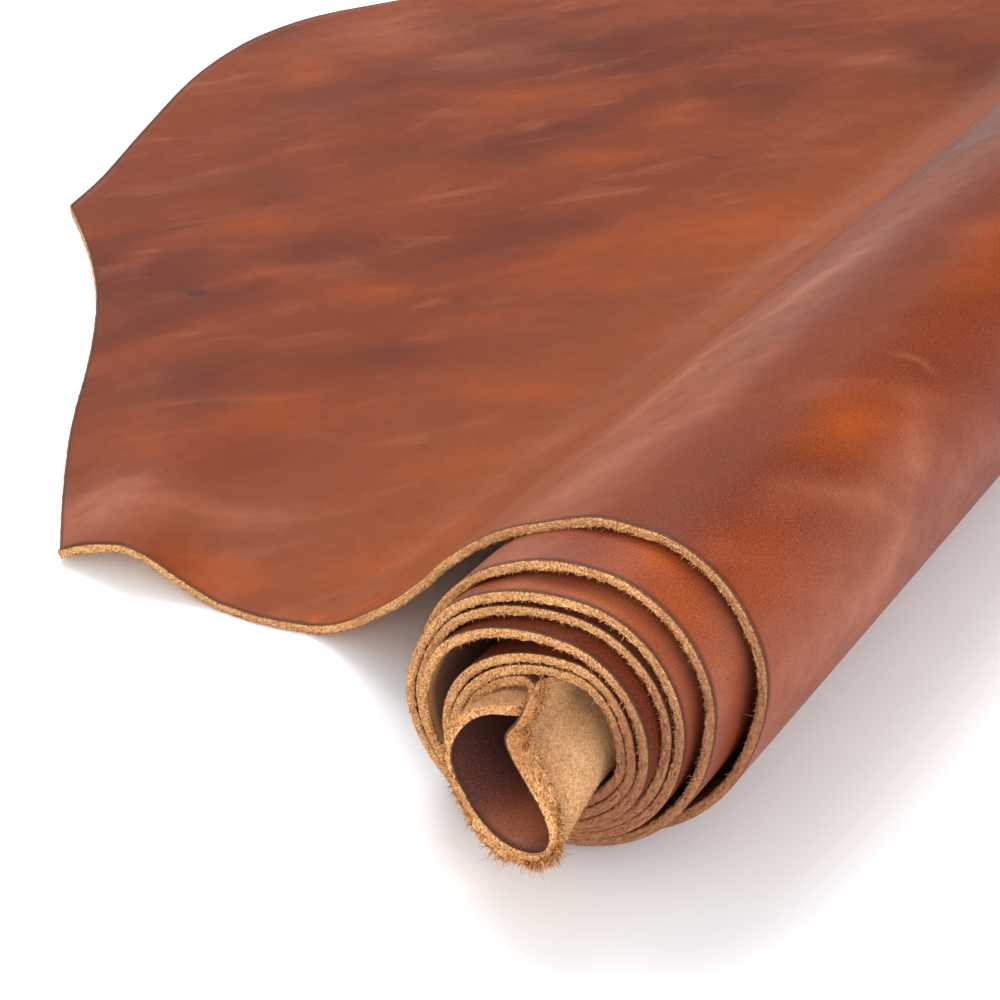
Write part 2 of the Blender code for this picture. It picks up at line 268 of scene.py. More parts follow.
def turn_quarters(turn, following, strip_half, fullness, steps):
    """The quarters of one turn, from its left or its top round to the next turn's left."""
    left = (turn.left_x, turn.left_z, turn.near_left)
    top = (turn.top_x, turn.top_z, turn.near_top)
    right = (turn.right_x, turn.right_z, turn.near_right)
    strip_start = (turn.bottom_x + strip_half, turn.bottom_z, turn.near_bottom)
    strip_end = (turn.bottom_x - strip_half, turn.bottom_z, turn.near_bottom)
    quarters = []
    if turn.left_x is not None:
        quarters.append(quarter(left, top, True, ROUND, steps))
    quarters.append(quarter(top, right, False, ROUND, steps))
    quarters.append(quarter(right, strip_start, True, fullness, steps))
    if strip_half:
        quarters.append(np.array([strip_start]))
    quarters.append(quarter(strip_end, following, False, ROUND, steps))
    return quarters


def run_along(points):
    """The path length at each point."""
    return np.concatenate([[0.0], np.cumsum(np.linalg.norm(np.diff(points, axis=0), axis=1))])


def roll_path():
    """The grain face's section from the rise to the lip, with the core's columns for each row."""
    path = smooth_curve([(row.x, row.z, row.near_y) for row in RISE], STEPS_PER_RISE_ROW)[:-1]

    def add(path, points):
        run = run_along(path[:, :2])
        before = path[run < run[-1] - FREE_RUN]
        return np.concatenate([path, settle(points, before)])

    lefts = [(turn.left_x, turn.left_z, turn.near_left) for turn in TURNS[1:]]
    lefts.append((CORE[0].x, CORE[0].z, CORE[0].near_y))
    for number, (turn, following) in enumerate(zip(TURNS, lefts)):
        strip_half = 0.0 if number else FLAT_STRIP_HALF
        fullness = FULL if number else ROUND
        for points in turn_quarters(turn, following, strip_half, fullness, STEPS_PER_QUARTER):
            path = add(path, points)
    core = smooth_curve(CORE, STEPS_PER_CORE_ROW)
    last_half_turn = HALF_TURN_ROWS * STEPS_PER_CORE_ROW
    plain = np.tile(core[0, 3:], (len(path), 1))
    path = np.concatenate([path, plain], 1)
    settled = core[:last_half_turn].copy()
    before = path[:-1]
    settled[:, :3] = add(before[:, :3], settled[:, :3])[len(before):]
    return np.concatenate([path, settled, core[last_half_turn:]])


def outline_x(y):
    """The outline's X at a Y: one smooth curve on each side of the sharp corner."""
    rows = np.array(OUTLINE, float)
    corner = int(np.argmin(np.abs(rows[:, 0] - OUTLINE_CORNER_Y)))
    near = smooth_curve(rows[:corner + 1], STEPS_PER_OUTLINE_ROW)
    far = smooth_curve(rows[corner:], STEPS_PER_OUTLINE_ROW)
    curve = np.concatenate([near, far[1:]])
    return np.interp(y, curve[:, 0], curve[:, 1])


def column_shares():
    """Each column's share of the way from the near edge to the far one."""
    whole = FAR_EDGE_Y - APRON[0].near_y
    corner = OUTLINE_CORNER_Y - APRON[0].near_y
    near = np.arange(EDGE_COLUMNS[-1] + NEAR_SPACING, NEAR_REACH, NEAR_SPACING)
    near[np.abs(near - corner).argmin()] = corner
    far = np.arange(near[-1] + FAR_SPACING, whole - 0.5 * FAR_SPACING, FAR_SPACING)
    ends = [whole - distance for distance in reversed(EDGE_COLUMNS[:3])]
    return np.concatenate([EDGE_COLUMNS, near, far, ends]) / whole


def kept_columns(shares):
    """The columns that the hidden turns have: those nearest to the mouth's own places."""
    whole = FAR_EDGE_Y - APRON[0].near_y
    kept = {int(np.abs(shares * whole - place).argmin()) for place in MOUTH_COLUMNS}
    return sorted(kept | set(range(len(shares) - 3, len(shares))))


def ridge_height(run, y):
    """How far the soft ridges lift the grain face at a run and a Y."""
    height = np.zeros(np.broadcast(run, y).shape)
    for ridge in RIDGES:
        centre = ridge.run + ridge.wander * np.sin(y / ridge.wander_length * 2 * np.pi + ridge.phase)
        strength = 0.6 + 0.4 * np.sin(y / ridge.wander_length * 4.0 + 2.0 * ridge.phase)
        height = height + ridge.height * strength * np.exp(-(((run - centre) / ridge.width) ** 2))
    return height


def grain_grid(shares):
    """Points of the grain face, their path length from the roll's top, and the core's columns."""
    path = roll_path()
    run = run_along(path[:, :2])
    top = len(RISE[:-1]) * STEPS_PER_RISE_ROW
    run -= run[top]
    grid, runs, extras = [], [], []
    for share, lift, near_y in smooth_curve(APRON, STEPS_PER_APRON_ROW):
        y = near_y + (FAR_EDGE_Y - near_y) * shares
        x = outline_x(y)
        x = x + (APRON_END_X - x) * share
        z = THICKNESS + max(lift, 0.0) * np.exp(-(((y - near_y) / LIFT_FADE) ** 2))
        grid.append(np.stack([x, y, z], 1))
        runs.append(run[0] + x - path[0, 0])
        extras.append((0.0, 1.0))
    for (x, z, near_y, mouth_x, mouth_z, skive, fuzz, curl), at in zip(path, run):
        far_y = FAR_EDGE_Y + FAR_WAVE_HEIGHT * np.sin((at - run[0]) / FAR_WAVE_RUN)
        y = near_y + (far_y - near_y) * shares
        mouth = np.clip(1.0 - (y - near_y) / MOUTH_DEPTH, 0.0, 1.0)
        bent = curl * np.clip(1.0 - (y - near_y) / CURL_DEPTH, 0.0, 1.0) ** 1.5
        grid.append(np.stack([x + mouth_x * mouth + bent, y, z + mouth_z * mouth], 1))
        runs.append(np.full(len(y), at))
        extras.append((skive, fuzz))
    return np.array(grid), np.array(runs), np.array(extras)


def section_normals(grid):
    """The grain face's normals in the section's plane, and how sharply it bends to the flesh side."""
    along = np.gradient(grid[:, :, [0, 2]], axis=0)
    lengths = np.linalg.norm(along, axis=2)
    along /= lengths[:, :, None]
    heading = np.unwrap(np.arctan2(along[:, :, 1], along[:, :, 0]), axis=0)
    bend = -np.gradient(heading, axis=0) / lengths
    normals = np.zeros_like(grid)
    normals[:, :, 0] = -along[:, :, 1]
    normals[:, :, 2] = along[:, :, 0]
    return normals, bend


def flesh_grid(grain, skive):
    """Points of the flesh face: a thickness further in, less in tight bends, and cut back at the rim."""
    normals, bend = section_normals(grain)
    depth = np.minimum(THICKNESS, BEND_SHARE / np.maximum(bend, BEND_SHARE / (2 * THICKNESS)))
    flesh = grain - normals * depth[:, :, None]
    into = grain[:, :, 1] - grain[:, :1, 1]
    flesh[:, :, 1] += skive[:, None] * np.clip(1.0 - into / SKIVE_BLEND, 0.0, 1.0)
    return flesh


def rim_distance(grain, runs):
    """How far each point of the grain face is from the sheet's nearest edge."""
    y = grain[:, :, 1]
    sides = np.minimum(y - y[:, :1], y[:, -1:] - y)
    ends = np.minimum(runs - runs[:1], runs[-1:] - runs)
    return np.minimum(sides, ends)


def inset(face, skive):
    """The face with its four edges drawn back behind the edge bands, further where the cut slants."""
    drawn = face.copy()
    drawn[:, 0, 1] += RIM_INSET * np.hypot(1.0, skive / THICKNESS)
    drawn[:, -1, 1] -= RIM_INSET
    drawn[0, :, 0] += RIM_INSET
    lip_way = face[-1] - face[-2]
    drawn[-1] -= lip_way / np.linalg.norm(lip_way, axis=1)[:, None] * RIM_INSET
    return drawn


def to_world(points):
    """Table millimetres to the frame's metres."""
    return (np.asarray(points) - (0.0, ORIGIN_Y, 0.0)) * MM


def mesh_object(name, points, faces, slots, materials, flat, **values):
    """A smooth mesh with a flat UV map, in metres on the unrolled leather, and values at its points."""
    mesh = bpy.data.meshes.new(name)
    mesh.from_pydata(points.tolist(), [], faces)
    for made in materials:
        mesh.materials.append(made)
    mesh.polygons.foreach_set("material_index", np.asarray(slots, np.int32))
    corners = np.empty(len(mesh.loops), np.int32)
    mesh.loops.foreach_get("vertex_index", corners)
    mesh.uv_layers.new(name="flat").data.foreach_set("uv", flat[corners].astype(np.float32).ravel())
    for value_name, value in values.items():
        layer = mesh.attributes.new(value_name, "FLOAT", "POINT")
        layer.data.foreach_set("value", value.astype(np.float32))
    mesh.shade_smooth()
    mesh.validate()
    made = bpy.data.objects.new(name, mesh)
    bpy.context.scene.collection.objects.link(made)
    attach(made, "root")
    return made


def sheet_object(grain, flesh, runs, full_rows, kept, materials):
    """The closed sheet: grain face, flesh face and plain cut faces behind the edge bands."""
    rows, columns = grain.shape[:2]
    every = list(range(columns))
    own = [every if row < full_rows else kept for row in range(rows)]
    number = -np.ones((rows, columns), int)
    for row in range(rows):
        first = number.max() + 1
        number[row, own[row]] = first + np.arange(len(own[row]))
    used = number >= 0
    order = np.argsort(number[used])
    count = used.sum()
    faces, slots = [], []
    for row in range(rows - 1):
        spans = min(own[row], own[row + 1], key=len)
        for start, end in zip(spans[:-1], spans[1:]):
            one = [number[row, c] for c in own[row] if start <= c <= end]
            other = [number[row + 1, c] for c in own[row + 1] if start <= c <= end]
            faces.append([*one, *reversed(other)])
            faces.append([*(p + count for p in reversed(one)), *(p + count for p in other)])
            slots += [0, 1]
        for column, turned in ((0, True), (columns - 1, False)):
            a, b = number[row, column], number[row + 1, column]
            side = [a, b, b + count, a + count]
            faces.append(side if turned else side[::-1])
            slots.append(2)
    for row, turned in ((0, False), (rows - 1, True)):
        for start, end in zip(own[row][:-1], own[row][1:]):
            a, b = number[row, start], number[row, end]
            side = [a, b, b + count, a + count]
            faces.append(side if turned else side[::-1])
            slots.append(2)
    points = np.concatenate([grain[used][order], flesh[used][order]])
    flat = np.stack([runs, grain[:, :, 1]], 2)[used][order] * MM
    values = {"rim": rim_distance(grain, runs) * MM}
    for kind in (WARM, DEEP_AND_PAINTED_SHADE, PALE_AND_PAINTED_LIGHT):
        values[kind] = patch_strength(kind, runs, grain[:, :, 1])
    values = {name: np.tile(value[used][order], 2) for name, value in values.items()}
    return mesh_object(
        "leather_sheet", to_world(points), faces, slots, materials, np.concatenate([flat, flat]), **values,
    )


WARM, DEEP_AND_PAINTED_SHADE, PALE_AND_PAINTED_LIGHT = "warm", "deep", "light"
Patch = namedtuple("Patch", "u v length width turn kind strength")
# Broad patches of colour on the grain face, in millimetres on the unrolled leather: u is the path
# length from the roll's top, negative towards the loose end, and v is Y. The turn is from u to v.
# Warm ones are orange tone, and on the third turn also painted light. Deep ones are dark tone, and
# along the far crest, at the far top and on an inner turn also painted shade. Pale ones are paler
# tone, and painted sheen, highlights and light on the crest, the second and third turns, the loop's
# hollow and the loose end's near corner and far left.
PATCHES = [
    Patch(-495, 440, 45, 34, 60, WARM, 0.35),
    Patch(-400, 270, 45, 26, 40, WARM, 0.28),
    Patch(-355, 225, 50, 16, 20, WARM, 0.35),
    Patch(-305, 240, 55, 14, 50, WARM, 0.32),
    Patch(-365, 485, 90, 40, 40, WARM, 0.28),
    Patch(-295, 435, 100, 24, 50, WARM, 0.36),
    Patch(-255, 620, 60, 24, 30, PALE_AND_PAINTED_LIGHT, 0.4),
    Patch(-215, 195, 80, 30, 45, WARM, 0.35),
    Patch(-250, 235, 50, 38, 40, WARM, 0.28),
    Patch(-235, 345, 130, 40, 60, WARM, 0.32),
    Patch(-305, 75, 45, 38, 45, WARM, 0.3),
    Patch(-265, 130, 60, 30, 35, WARM, 0.28),
    Patch(-218, 28, 44, 24, 40, WARM, 0.45),
    Patch(-175, 76, 50, 34, 60, WARM, 0.45),
    Patch(-355, 400, 70, 40, 35, DEEP_AND_PAINTED_SHADE, 0.7),
    Patch(-460, 425, 70, 60, 60, DEEP_AND_PAINTED_SHADE, 0.5),
    Patch(-316, 127, 60, 36, 35, DEEP_AND_PAINTED_SHADE, 0.5),
    Patch(-280, 190, 90, 26, 30, DEEP_AND_PAINTED_SHADE, 0.5),
    Patch(-360, 565, 130, 44, 30, DEEP_AND_PAINTED_SHADE, 0.6),
    Patch(-330, 630, 90, 44, 30, DEEP_AND_PAINTED_SHADE, 0.5),
    Patch(-430, 300, 75, 50, 35, DEEP_AND_PAINTED_SHADE, 0.45),
    Patch(-225, 175, 85, 26, 30, DEEP_AND_PAINTED_SHADE, 0.35),
    # Painted shade, holding down the sheen at the loose end's far top
    Patch(-205, 655, 110, 90, 60, DEEP_AND_PAINTED_SHADE, 0.85),
    Patch(-12, 215, 170, 34, 84, DEEP_AND_PAINTED_SHADE, 0.55),
    Patch(-4, 67, 70, 32, 75, DEEP_AND_PAINTED_SHADE, 0.35),
    Patch(51, 88, 75, 34, 80, DEEP_AND_PAINTED_SHADE, 0.4),
    Patch(14, 90, 44, 26, 62, WARM, 0.62),
    Patch(8, 225, 110, 30, 82, WARM, 0.4),
    Patch(36, 101, 44, 13, 126, PALE_AND_PAINTED_LIGHT, 0.5),
    Patch(54, 72, 66, 13, 115, PALE_AND_PAINTED_LIGHT, 0.5),
    Patch(338, -8, 60, 30, 80, WARM, 0.6),
    # Painted highlights on the second turn's left and right
    Patch(286, -2, 70, 30, 80, PALE_AND_PAINTED_LIGHT, 0.7),
    Patch(366, -4, 60, 22, 80, PALE_AND_PAINTED_LIGHT, 0.7),
    # Painted light and sheen on the third turn, where the second one shades it
    Patch(596, -22, 60, 26, 80, PALE_AND_PAINTED_LIGHT, 0.7),
    Patch(624, -20, 60, 44, 80, WARM, 0.6),
    Patch(624, -22, 50, 40, 80, PALE_AND_PAINTED_LIGHT, 0.5),
    Patch(655, -22, 60, 30, 80, PALE_AND_PAINTED_LIGHT, 0.6),
    # Painted light on the lower inside of the loop's hollow, with orange streaks
    Patch(1744, -52, 40, 22, 80, PALE_AND_PAINTED_LIGHT, 0.6),
    Patch(1743, -51, 24, 30, 70, WARM, 0.3),
    # Painted shade on an inner turn's right
    Patch(1165, -28, 70, 30, 80, DEEP_AND_PAINTED_SHADE, 0.5),
    # Painted sheen at the loose end's near corner and far left
    Patch(-285, 26, 110, 40, 30, PALE_AND_PAINTED_LIGHT, 0.8),
    Patch(-497, 516, 100, 60, 50, PALE_AND_PAINTED_LIGHT, 0.35),
    # The crest: paler where the leather was bent, with painted highlight streaks
    Patch(-56, 140, 200, 12, 79, PALE_AND_PAINTED_LIGHT, 0.6),
    Patch(-88, 130, 180, 7, 80, PALE_AND_PAINTED_LIGHT, 0.6),
    Patch(-34, 60, 170, 16, 82, PALE_AND_PAINTED_LIGHT, 0.4),
    Patch(-72, 130, 160, 6, 81, WARM, 0.4),
    Patch(-108, 110, 150, 7, 79, WARM, 0.4),
    Patch(-98, 180, 200, 6, 82, DEEP_AND_PAINTED_SHADE, 0.5),
    Patch(-24, 110, 130, 26, 80, DEEP_AND_PAINTED_SHADE, 0.45),
    # Painted shade that fades the crest's highlight further back
    Patch(-55, 440, 460, 100, 88, DEEP_AND_PAINTED_SHADE, 0.85),
    Patch(-48, 300, 240, 60, 86, DEEP_AND_PAINTED_SHADE, 0.5),
    Patch(-150, 700, 320, 160, 80, DEEP_AND_PAINTED_SHADE, 0.6),
    Patch(6, 34, 80, 26, 80, DEEP_AND_PAINTED_SHADE, 0.45),
    Patch(9, 195, 120, 26, 82, DEEP_AND_PAINTED_SHADE, 0.6),
    Patch(21, 112, 50, 16, 80, DEEP_AND_PAINTED_SHADE, 0.35),
    Patch(32, 72, 76, 18, 75, PALE_AND_PAINTED_LIGHT, 0.6),
    Patch(62, 40, 150, 46, 85, PALE_AND_PAINTED_LIGHT, 0.5),
    Patch(-300, 500, 70, 26, 60, WARM, 0.4),
    Patch(-210, 410, 90, 30, 60, WARM, 0.3),
    Patch(-430, 505, 70, 40, 60, PALE_AND_PAINTED_LIGHT, 0.3),
]


def patch_strength(kind, u, v):
    """How strong the patches of one kind are at each point, each easing out from its middle."""
    u = u + 5.0 * np.sin(v / 17.0) + 3.0 * np.sin(v / 7.3 + 1.0)
    v = v + 6.0 * np.sin(u / 15.0 + 2.0) + 3.0 * np.sin(u / 6.1)
    bare = np.ones(np.broadcast(u, v).shape)
    for patch in PATCHES:
        if patch.kind == kind:
            turn = np.radians(patch.turn)
            along = (u - patch.u) * np.cos(turn) + (v - patch.v) * np.sin(turn)
            across = (v - patch.v) * np.cos(turn) - (u - patch.u) * np.sin(turn)
            away = (2.0 * along / patch.length) ** 2 + (2.0 * across / patch.width) ** 2
            bare = bare * (1.0 - patch.strength * np.exp(-away))
    return 1.0 - bare


def soft_noise(rng, rows, columns, passes):
    """Random heights of unit spread, softened along the rows."""
    height = rng.normal(size=(rows, columns))
    for _ in range(passes):
        height = 0.5 * height + 0.25 * (np.roll(height, 1, 0) + np.roll(height, -1, 0))
    return height / height.std()


Edge = namedtuple("Edge", "rim flesh outward run fuzz")


def resampled(edge, step):
    """The edge with a station every step along its rim."""
    run = run_along(edge.rim)
    stations = np.linspace(0.0, run[-1], int(run[-1] / step) + 2)

    def at(values):
        values = np.asarray(values, float)
        if values.ndim == 1:
            return np.interp(stations, run, values)
        return np.stack([np.interp(stations, run, column) for column in values.T], 1)

    return Edge(*(at(values) for values in edge))


def edge_axes(edge):
    """Unit vectors along the edge, from grain to flesh across it, and out of its cut face."""
    along = np.gradient(edge.rim, axis=0)
    along /= np.linalg.norm(along, axis=1)[:, None]
    across = edge.flesh - edge.rim
    across /= np.linalg.norm(across, axis=1)[:, None]
    out = np.cross(along, across)
    out *= np.sign((out * edge.outward).sum(1))[:, None]
    out /= np.linalg.norm(out, axis=1)[:, None]
    return along, across, out


Profile = namedtuple("Profile", "depth across out rough")
# The edge band's section, from the grain face over the cut to the flesh face and back inside:
# share of the depth, shift towards the flesh, shift outwards, and share of the roughness
BAND = [
    Profile(0.00, 0.02, -0.90, 0.0),
    Profile(0.00, -0.04, -0.45, 0.0),
    Profile(0.00, -0.02, -0.12, 0.1),
    Profile(0.06, 0.00, 0.05, 0.3),
    Profile(0.19, 0.00, 0.14, 0.9),
    Profile(0.33, 0.00, 0.18, 1.0),
    Profile(0.47, 0.00, 0.19, 1.0),
    Profile(0.61, 0.00, 0.18, 1.1),
    Profile(0.75, 0.00, 0.16, 1.2),
    Profile(0.88, 0.00, 0.12, 1.4),
    Profile(0.98, 0.05, 0.03, 1.6),
    Profile(1.00, 0.20, -0.35, 1.5),
    Profile(1.00, 0.08, -0.95, 0.6),
    Profile(0.80, -0.10, -1.00, 0.0),
    Profile(0.20, 0.10, -0.98, 0.0),
]
BAND_ROUGHNESS = 0.15
BAND_WAVE = 0.08


def edge_band(name, edge, step, rng, materials):
    """The fibrous cut edge as a closed band that wraps the sheet's rim."""
    edge = resampled(edge, step)
    along, across, out = edge_axes(edge)
    count, ring = len(edge.rim), len(BAND)
    fine = soft_noise(rng, count, ring, 1)
    wave = soft_noise(rng, count, ring, 12)
    ragged = soft_noise(rng, count, ring, 2)
    points = np.empty((count, ring, 3))
    for place, row in enumerate(BAND):
        rough = row.rough * (0.8 + 0.2 * edge.fuzz)
        height = row.out + rough * (BAND_ROUGHNESS * fine[:, place] + BAND_WAVE * wave[:, place])
        shift = row.across + 0.6 * rough * BAND_ROUGHNESS * ragged[:, place]
        base = edge.rim + (edge.flesh - edge.rim) * row.depth
        points[:, place] = base + out * height[:, None] + across * shift[:, None]
    points[:, :, 2] = np.maximum(points[:, :, 2], 0.0)
    corner = np.arange(count * ring).reshape(count, ring)
    following = np.roll(corner, -1, 1)
    quads = np.stack([corner[:-1], following[:-1], following[1:], corner[1:]], 2).reshape(-1, 4)
    flips = (np.cross(along, across) * out).sum() > 0
    faces = (quads if flips else quads[:, ::-1]).tolist()
    ends = [corner[0].tolist(), corner[-1].tolist()[::-1]]
    faces += [end[::-1] for end in ends] if flips else ends
    widths = np.linalg.norm(edge.flesh - edge.rim, axis=1)
    depth = widths[:, None] * np.array([row.depth for row in BAND])[None, :]
    flat = np.stack(np.broadcast_arrays(edge.run[:, None], depth), 2).reshape(-1, 2) * MM
    return mesh_object(name, to_world(points.reshape(-1, 3)), faces, [0] * len(faces), materials, flat)


HAIR_SIDES = 3
HAIR_TAPER = 0.7


def strands(name, roots, directions, lengths, radius, bends, runs, rng, materials):
    """Tapered three-sided hairs, each with its own shade and bend, or straight where bends is None."""
    count = len(roots)
    directions = directions / np.linalg.norm(directions, axis=1)[:, None]
    side = np.cross(directions, rng.normal(size=(count, 3)))
    side /= np.linalg.norm(side, axis=1)[:, None]
    other = np.cross(directions, side)
    rings = [(0.0, 1.0)] if bends is None else [(0.0, 1.0), (0.5, HAIR_TAPER)]
    bends = np.zeros((count, 1)) if bends is None else bends
    tips = roots + (directions + side * bends) / np.sqrt(1 + bends ** 2) * lengths[:, None]
    points = []
    for place, girth in rings:
        middle = roots + directions * (place * lengths)[:, None]
        for angle in np.arange(HAIR_SIDES) * 2 * np.pi / HAIR_SIDES:
            points.append(middle + (side * np.cos(angle) + other * np.sin(angle)) * radius * girth)
    points = np.stack([*points, tips], 1)
    points[:, :, 2] = np.maximum(points[:, :, 2], 0.0)
    top = len(rings) * HAIR_SIDES
    pattern = [[2, 1, 0]]
    for start in range(0, top, HAIR_SIDES):
        for number in range(HAIR_SIDES):
            low, after = start + number, start + (number + 1) % HAIR_SIDES
            if start + HAIR_SIDES == top:
                pattern.append([low, after, top])
            else:
                pattern.append([low, after, after + HAIR_SIDES])
                pattern.append([low, after + HAIR_SIDES, low + HAIR_SIDES])
    base = (np.arange(count) * (top + 1))[:, None, None]
    faces = (np.array(pattern)[None, :, :] + base).reshape(-1, HAIR_SIDES).tolist()
    share = np.array([place for place, _ in rings for _ in range(HAIR_SIDES)] + [1.0])
    flat = np.stack(np.broadcast_arrays(runs[:, None], share[None, :]), 2).reshape(-1, 2) * MM
    shade = np.repeat(rng.random(count), top + 1)
    return mesh_object(
        name, to_world(points.reshape(-1, 3)), faces, [0] * len(faces), materials, flat, shade=shade,
    )


FIBRES_PER_MM = 5.0
FIBRE_LENGTH = 0.68
FIBRE_RADIUS = 0.105
LONG_FIBRE_SHARE = 0.02
LONG_FIBRE_GAIN = 2.2
STUBBLE_PER_MM = 7.0
STUBBLE_LENGTH = 0.55
STUBBLE_RADIUS = 0.10
# Hairs on a cut: the spacing of their stations, how far they are spread from these and stand out
# of the cut, and the share of the loose fibres at the flesh rim
HAIR_STATION = 0.5
HAIR_SPREAD = 0.3
ROOT_OUT = 0.05
RIM_FIBRE_SHARE = 0.62


def edge_fibres(name, edge, density, rng, materials):
    """Loose fibres all along a cut edge, most of them at its flesh rim."""
    edge = resampled(edge, HAIR_STATION)
    along, across, out = edge_axes(edge)
    weight = 0.5 + 0.5 * edge.fuzz
    total = int(run_along(edge.rim)[-1] * density * weight.mean())
    at = rng.choice(len(edge.rim), size=total, p=weight / weight.sum())
    at_rim = rng.random(total) < RIM_FIBRE_SHARE
    rim_depth = 1.0 - 0.14 * rng.random(total)
    inner_depth = 0.1 + 0.85 * rng.random(total)
    depth = np.where(at_rim, rim_depth, inner_depth)
    spread = along[at] * rng.uniform(-HAIR_SPREAD, HAIR_SPREAD, total)[:, None]
    roots = edge.rim[at] + (edge.flesh - edge.rim)[at] * depth[:, None] + out[at] * ROOT_OUT + spread
    lengths = FIBRE_LENGTH * edge.fuzz[at] ** 0.8 * rng.gamma(2.2, 0.45, total)
    lengths *= np.where(rng.random(total) < LONG_FIBRE_SHARE, LONG_FIBRE_GAIN, 1.0)
    lean = np.clip(depth - 0.55, 0.0, 1.0) * 2.2 + rng.normal(0.0, 0.25, total)
    directions = out[at] * rng.uniform(0.35, 1.1, total)[:, None] + across[at] * lean[:, None]
    directions += along[at] * rng.normal(0.0, 0.65, total)[:, None]
    bends = rng.normal(0.0, 0.8, total)[:, None]
    return strands(name, roots, directions, lengths, FIBRE_RADIUS, bends, edge.run[at], rng, materials)


def edge_stubble(name, edge, density, rng, materials):
    """Short torn fibres that stand and lie all over a cut."""
    edge = resampled(edge, HAIR_STATION)
    along, across, out = edge_axes(edge)
    total = int(run_along(edge.rim)[-1] * density)
    at = rng.integers(0, len(edge.rim), total)
    depth = rng.uniform(0.12, 1.0, total)[:, None]
    roots = edge.rim[at] + (edge.flesh - edge.rim)[at] * depth + out[at] * ROOT_OUT
    roots += along[at] * rng.uniform(-HAIR_SPREAD, HAIR_SPREAD, total)[:, None]
    directions = out[at] * rng.uniform(0.15, 1.0, total)[:, None]
    leans = across[at] * rng.normal(0.15, 0.6, total)[:, None]
    directions += leans + along[at] * rng.normal(0.0, 0.8, total)[:, None]
    lengths = STUBBLE_LENGTH * rng.uniform(0.5, 1.3, total)
    return strands(name, roots, directions, lengths, STUBBLE_RADIUS, None, edge.run[at], rng, materials)


Tuft = namedtuple("Tuft", "first_row last_row count length x y z")
# Where longer fibres hang off the near rim: core rows, how many, their length and their way
TUFTS = [
    Tuft(12.5, 16.5, 260, 1.7, -0.7, -0.5, -0.5),
    Tuft(16.8, 17.8, 110, 3.2, -0.1, -0.4, -0.9),
    Tuft(18.4, 20.4, 900, 2.5, 0.6, -0.4, -0.5),
    Tuft(20.4, 24.0, 420, 1.5, 0.7, -0.6, 0.1),
    Tuft(25.2, 26.0, 60, 2.2, -0.9, -0.5, 0.0),
    Tuft(24.5, 27.5, 420, 1.5, 0.4, -0.8, 0.2),
    Tuft(28.0, 28.95, 320, 1.8, 0.3, -0.6, 0.6),
]


def rim_tufts(name, rim, flesh, runs, rng, materials):
    """Bunches of longer fibres on the near rim of the innermost loop."""
    first_core_row = len(rim) - 1 - (len(CORE) - 1) * STEPS_PER_CORE_ROW
    roots, directions, lengths, at_run = [], [], [], []
    for tuft in TUFTS:
        row = first_core_row + rng.uniform(tuft.first_row, tuft.last_row, tuft.count) * STEPS_PER_CORE_ROW
        low = row.astype(int)
        part = (row - low)[:, None]
        depth = rng.uniform(0.55, 1.0, tuft.count)[:, None]
        here = rim[low] + (flesh[low] - rim[low]) * depth
        after = rim[low + 1] + (flesh[low + 1] - rim[low + 1]) * depth
        roots.append(here * (1 - part) + after * part)
        directions.append(np.array([tuft.x, tuft.y, tuft.z]) + rng.normal(0.0, 0.45, (tuft.count, 3)))
        lengths.append(tuft.length * rng.gamma(4.0, 0.25, tuft.count))
        at_run.append(runs[low])
    bends = rng.normal(0.0, 0.8, sum(tuft.count for tuft in TUFTS))[:, None]
    return strands(
        name, np.concatenate(roots), np.concatenate(directions), np.concatenate(lengths), FIBRE_RADIUS,
        bends, np.concatenate(at_run), rng, materials,
    )


Nap = namedtuple("Nap", "first_row last_row reach count length")
# Where the flesh side shows at the near end: core rows, depth from the edge, hairs, their length
NAPS = [
    Nap(18, 28.9, 50.0, 30000, 0.5),
    Nap(8, 12, 18.0, 3000, 0.45),
]
NAP_RADIUS = 0.09


def suede_nap(name, grain, flesh, runs, rng, materials):
    """Short hairs on the flesh face where it shows."""
    first_core_row = len(grain) - 1 - (len(CORE) - 1) * STEPS_PER_CORE_ROW
    roots, directions, lengths, at_run = [], [], [], []
    inward = flesh - grain
    inward /= np.linalg.norm(inward, axis=2)[:, :, None]
    for nap in NAPS:
        lowest = first_core_row + nap.first_row * STEPS_PER_CORE_ROW
        highest = first_core_row + nap.last_row * STEPS_PER_CORE_ROW
        row = rng.uniform(lowest, highest, nap.count)
        row = np.minimum(row, len(grain) - 1.001)
        low = row.astype(int)
        part = (row - low)[:, None]
        into = nap.reach * rng.random(nap.count) ** 1.3
        for r, p, d in zip(low, part[:, 0], into):
            ends = []
            for q in (r, r + 1):
                y = flesh[q, :, 1]
                ends.append([np.interp(y[0] + d, y, flesh[q, :, axis]) for axis in range(3)])
            roots.append(np.array(ends[0]) * (1 - p) + np.array(ends[1]) * p)
        facing = inward[low, 0] * (1 - part) + inward[low + 1, 0] * part
        tangent = flesh[low + 1, 0] - flesh[low, 0]
        tangent /= np.linalg.norm(tangent, axis=1)[:, None]
        lean = facing * rng.uniform(0.25, 0.9, nap.count)[:, None]
        lean += tangent * rng.normal(0.0, 0.8, nap.count)[:, None]
        lean[:, 1] += rng.normal(-0.3, 0.7, nap.count)
        directions.append(lean)
        fresh = 1.0 + 1.1 * np.exp(-into / 6.0)
        lengths.append(nap.length * fresh * rng.gamma(3.0, 0.33, nap.count))
        at_run.append(runs[low, 0])
    return strands(
        name, np.array(roots), np.concatenate(directions), np.concatenate(lengths), NAP_RADIUS,
        None, np.concatenate(at_run), rng, materials,
    )


# Over this many rows the ridges fade out towards the hidden turns
RIDGE_FADE_ROWS = 20
LIP_FUZZ = 1.5

